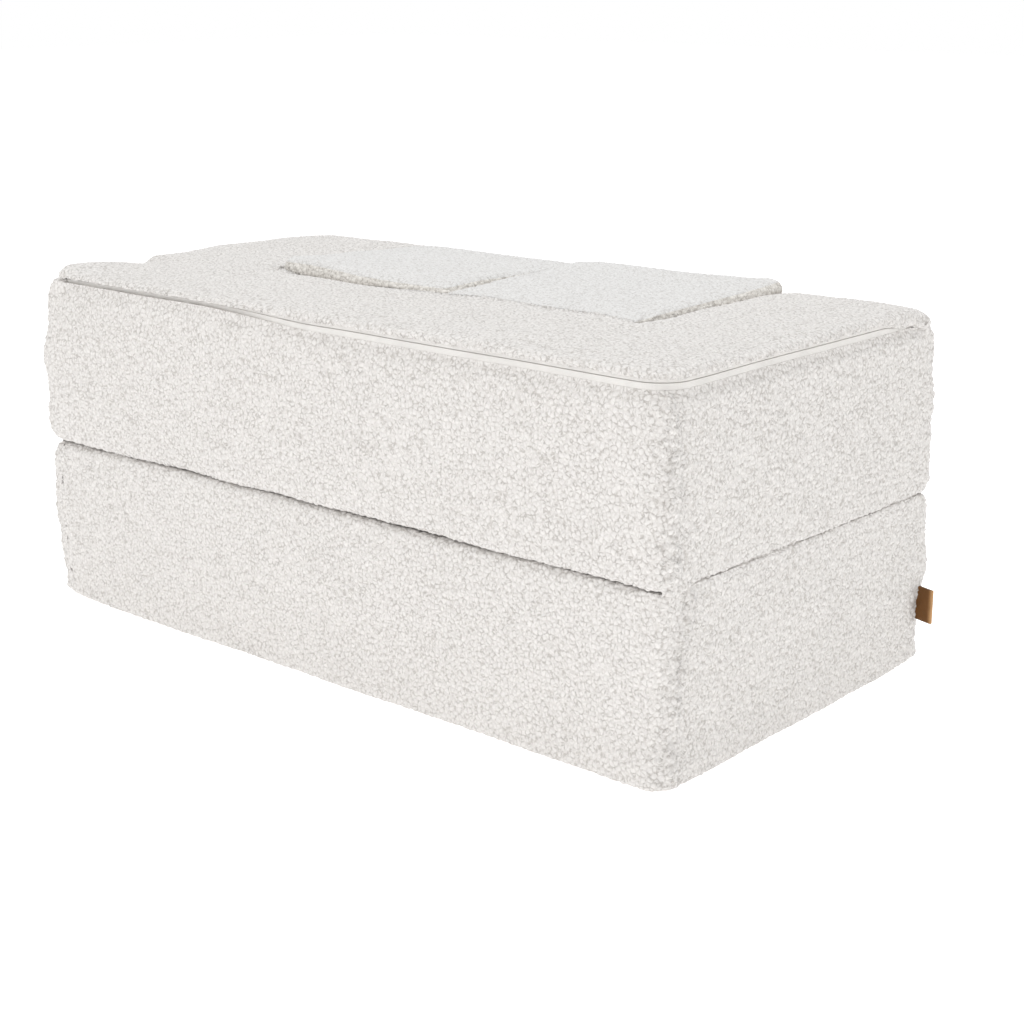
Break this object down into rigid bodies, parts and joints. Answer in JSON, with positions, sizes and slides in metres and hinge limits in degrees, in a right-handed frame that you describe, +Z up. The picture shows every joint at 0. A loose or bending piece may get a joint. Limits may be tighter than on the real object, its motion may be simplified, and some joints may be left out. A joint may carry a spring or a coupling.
{
  "type": "kids_fold_out_sofa",
  "caption": "Children's foam sofa in off-white boucle: a seat base with a hinged U of back and arms folded on top, loose seat inserts, hidden zips and a small leather loop tag.",
  "frame": {"origin": "on the floor under the middle of the base block", "axes": "+X along the back towards the hinged end, +Y towards the open front of the sofa, +Z up"},
  "size_m": [0.8599, 0.439, 0.3785],
  "materials": {
    "cover_cloth": "off-white curly boucle, matte",
    "underside_cloth": "plain woven underside, off-white",
    "foam": "open-cell polyurethane foam",
    "zip_tape": "fine woven polyester tape",
    "zip_coil": "nylon coil",
    "zip_slider": "off-white lacquered zinc",
    "tag_leather": "tan leather, satin"
  },
  "bodies": {
    "base": {"base_cover_bottom_panel": "underside_cloth", "base_cover_front_panel": "cover_cloth", "base_cover_left_panel": "cover_cloth", "base_cover_rear_panel": "cover_cloth", "base_cover_right_panel": "cover_cloth", "base_cover_top_panel": "cover_cloth", "base_foam_core": "foam", "base_zip_coil": "zip_coil", "base_zip_inner_tape": "zip_tape", "base_zip_outer_tape": "zip_tape", "fold_hinge_strip": "cover_cloth", "leather_loop_tag": "tag_leather"},
    "surround": {"surround_cover_bottom_panel": "cover_cloth", "surround_cover_cavity_lining": "cover_cloth", "surround_cover_left_arm_front": "cover_cloth", "surround_cover_left_panel": "cover_cloth", "surround_cover_rear_panel": "cover_cloth", "surround_cover_right_arm_front": "cover_cloth", "surround_cover_right_panel": "cover_cloth", "surround_cover_top_panel": "cover_cloth", "surround_foam_back": "foam", "surround_foam_left_arm": "foam", "surround_foam_right_arm": "foam", "surround_zip_coil": "zip_coil", "surround_zip_lower_tape": "zip_tape", "surround_zip_upper_tape": "zip_tape"},
    "left_insert": {"left_insert_cover_bottom_panel": "cover_cloth", "left_insert_cover_side_band": "cover_cloth", "left_insert_cover_top_panel": "cover_cloth", "left_insert_foam_core": "foam", "left_insert_zip_coil": "zip_coil", "left_insert_zip_lower_tape": "zip_tape", "left_insert_zip_upper_tape": "zip_tape"},
    "right_insert": {"right_insert_cover_bottom_panel": "cover_cloth", "right_insert_cover_side_band": "cover_cloth", "right_insert_cover_top_panel": "cover_cloth", "right_insert_foam_core": "foam", "right_insert_zip_coil": "zip_coil", "right_insert_zip_lower_tape": "zip_tape", "right_insert_zip_upper_tape": "zip_tape"},
    "base_slider": {"base_zip_slider": "zip_slider"},
    "surround_slider": {"surround_zip_slider": "zip_slider"},
    "left_insert_slider": {"left_insert_zip_slider": "zip_slider"},
    "right_insert_slider": {"right_insert_zip_slider": "zip_slider"}
  },
  "joints": [
    {"name": "fold", "type": "hinge", "parent": "base", "child": "surround", "pos_m": [0.4208, 0, 0.1862], "axis": [0, 1, 0], "range_deg": [0, 180], "deforming": ["fold_hinge_strip", "leather_loop_tag"]},
    {"name": "left_insert_pull_out", "type": "slide", "parent": "surround", "child": "left_insert", "axis": [0, 1, 0], "range_m": [0, 0.28]},
    {"name": "right_insert_pull_out", "type": "slide", "parent": "surround", "child": "right_insert", "axis": [0, 1, 0], "range_m": [0, 0.28]},
    {"name": "surround_zip", "type": "slide", "parent": "surround", "child": "surround_slider", "axis": [0, -1, 0], "range_m": [0, 0.33]},
    {"name": "base_zip", "type": "slide", "parent": "base", "child": "base_slider", "axis": [0, -1, 0], "range_m": [0, 0.33]},
    {"name": "left_insert_zip", "type": "slide", "parent": "left_insert", "child": "left_insert_slider", "axis": [-1, 0, 0], "range_m": [0, 0.16]},
    {"name": "right_insert_zip", "type": "slide", "parent": "right_insert", "child": "right_insert_slider", "axis": [-1, 0, 0], "range_m": [0, 0.16]}
  ]
}
